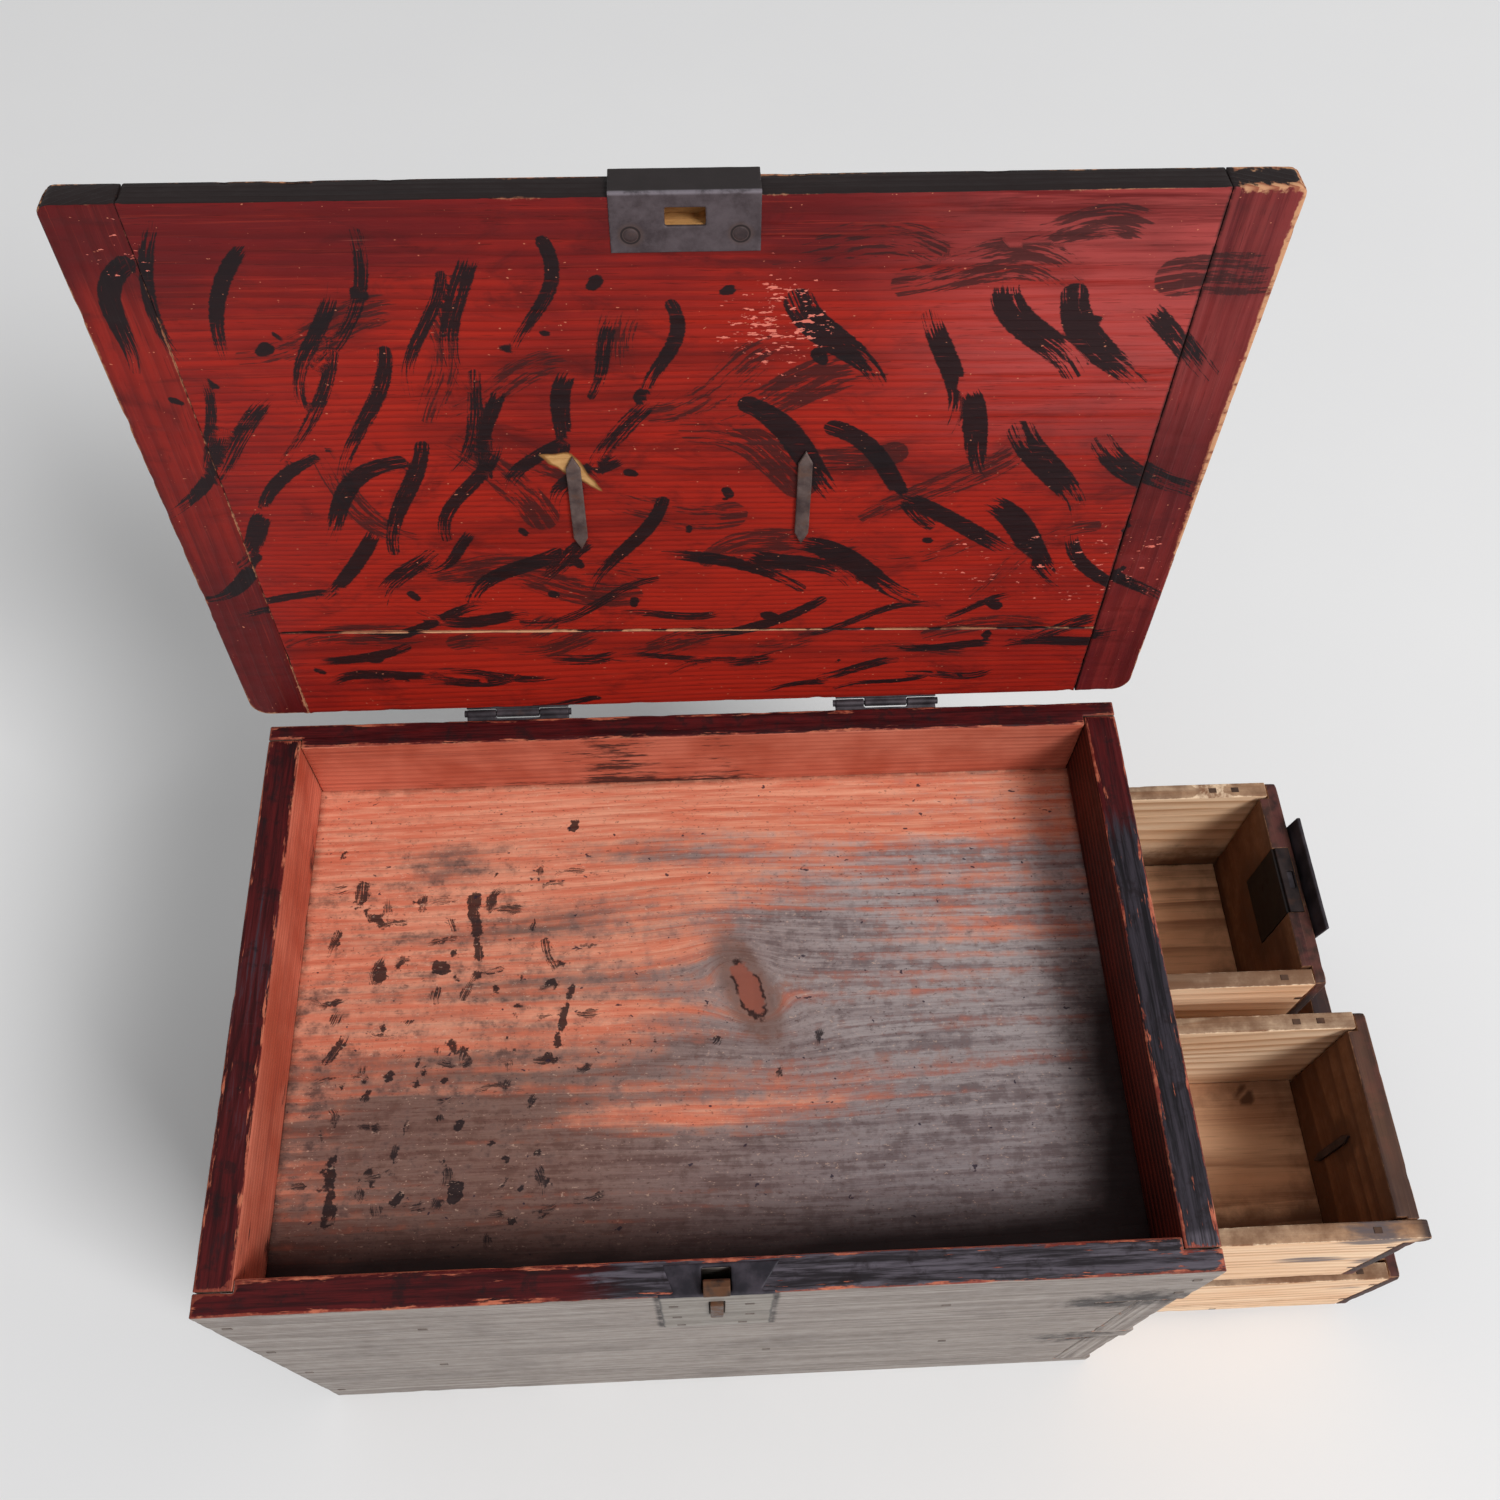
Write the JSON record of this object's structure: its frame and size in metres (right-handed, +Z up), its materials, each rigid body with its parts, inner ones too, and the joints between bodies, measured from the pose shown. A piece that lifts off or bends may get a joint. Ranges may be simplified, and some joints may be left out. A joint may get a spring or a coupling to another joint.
{
  "type": "calligraphy box",
  "caption": "Lacquered wooden box with a tray under a hinged lid, two short drawers side by side over a wide one, iron hinges, catch, ring pulls and a carrying bail.",
  "frame": {"origin": "centre of the case's underside", "axes": "+X to the side where the drawers open, -Y to the lock side, +Y to the hinge side, +Z up"},
  "size_m": [0.5327, 0.2934, 0.4962],
  "materials": {
    "red_lacquer": "thin red lacquer over softwood, worn and streaked with ink",
    "dark_lacquer": "dark maroon and blue-black lacquer, rubbed through at the arrises",
    "tray_lacquer": "faded coral lacquer, stained grey-black",
    "gray_wood": "bare weathered softwood",
    "bare_wood": "raw tan softwood",
    "iron": "forged iron, dark and lightly rusted"
  },
  "bodies": {
    "case": {"front_board": "gray_wood", "back_board": "dark_lacquer", "left_board": "dark_lacquer", "right_apron": "dark_lacquer", "corner_post": "gray_wood", "tray_floor": "tray_lacquer", "mid_rail": "gray_wood", "drawer_shelf": "bare_wood", "drawer_divider": "bare_wood", "drawer_guides": "bare_wood", "bottom_board": "bare_wood", "case_nails": "iron", "lock_plate": "iron", "left_hinge_case_leaf": "iron", "right_hinge_case_leaf": "iron", "left_hinge_pin": "iron", "right_hinge_pin": "iron"},
    "lid": {"lid_main_board": "red_lacquer", "lid_rear_board": "red_lacquer", "lid_left_cleat": "dark_lacquer", "lid_right_cleat": "dark_lacquer", "left_hinge_lid_leaf": "iron", "right_hinge_lid_leaf": "iron", "lid_nails": "iron", "strike_plate": "iron", "strike_rivets": "iron", "bail_split_pins": "iron", "bail_roses": "iron"},
    "bail": {"lid_bail": "iron"},
    "catch": {"lid_catch": "iron"},
    "back_drawer": {"back_drawer_front": "dark_lacquer", "back_drawer_near_side": "bare_wood", "back_drawer_far_side": "bare_wood", "back_drawer_end": "bare_wood", "back_drawer_bottom": "bare_wood", "back_drawer_nails": "iron", "drawer_lock_case": "iron", "drawer_lock_strip": "iron", "drawer_pull_plate": "iron", "drawer_pull_rivets": "iron"},
    "bolt": {"drawer_lock_bolt": "iron"},
    "front_drawer": {"front_drawer_front": "dark_lacquer", "front_drawer_near_side": "bare_wood", "front_drawer_far_side": "bare_wood", "front_drawer_end": "bare_wood", "front_drawer_bottom": "bare_wood", "front_drawer_nails": "iron", "front_drawer_split_pin": "iron", "front_drawer_rose": "iron"},
    "front_ring": {"front_drawer_ring": "iron"},
    "lower_drawer": {"lower_drawer_front": "dark_lacquer", "lower_drawer_near_side": "bare_wood", "lower_drawer_far_side": "bare_wood", "lower_drawer_end": "bare_wood", "lower_drawer_bottom": "bare_wood", "lower_drawer_nails": "iron", "lower_drawer_split_pin": "iron", "lower_drawer_rose": "iron"},
    "lower_ring": {"lower_drawer_ring": "iron"}
  },
  "joints": [
    {"name": "lid_hinge", "type": "hinge", "parent": "case", "child": "lid", "pos_m": [0, 0.12785, 0.238], "axis": [1, 0, 0], "range_deg": [0, 95.75]},
    {"name": "bail_swing", "type": "hinge", "parent": "lid", "child": "bail", "pos_m": [0, 0.15895, 0.3612], "axis": [1, 0, 0], "range_deg": [-8, 177]},
    {"name": "catch_slide", "type": "slide", "parent": "case", "child": "catch", "axis": [0, -1, 0], "range_m": [0, 0.0012]},
    {"name": "back_drawer_slide", "type": "slide", "parent": "case", "child": "back_drawer", "axis": [1, 0, 0], "range_m": [-0.0927, 0.18]},
    {"name": "bolt_slide", "type": "slide", "parent": "back_drawer", "child": "bolt", "axis": [0, 0, 1], "range_m": [0, 0.005]},
    {"name": "front_drawer_slide", "type": "slide", "parent": "case", "child": "front_drawer", "axis": [1, 0, 0], "range_m": [-0.106, 0.17]},
    {"name": "front_ring_swing", "type": "hinge", "parent": "front_drawer", "child": "front_ring", "pos_m": [0.302, -0.0555, 0.1345], "axis": [0, -1, 0], "range_deg": [-8, 180]},
    {"name": "lower_drawer_slide", "type": "slide", "parent": "case", "child": "lower_drawer", "axis": [1, 0, 0], "range_m": [-0.1365, 0.14]},
    {"name": "lower_ring_swing", "type": "hinge", "parent": "lower_drawer", "child": "lower_ring", "pos_m": [0.3325, 0.0036, 0.04525], "axis": [0, -1, 0], "range_deg": [-8, 180]}
  ]
}
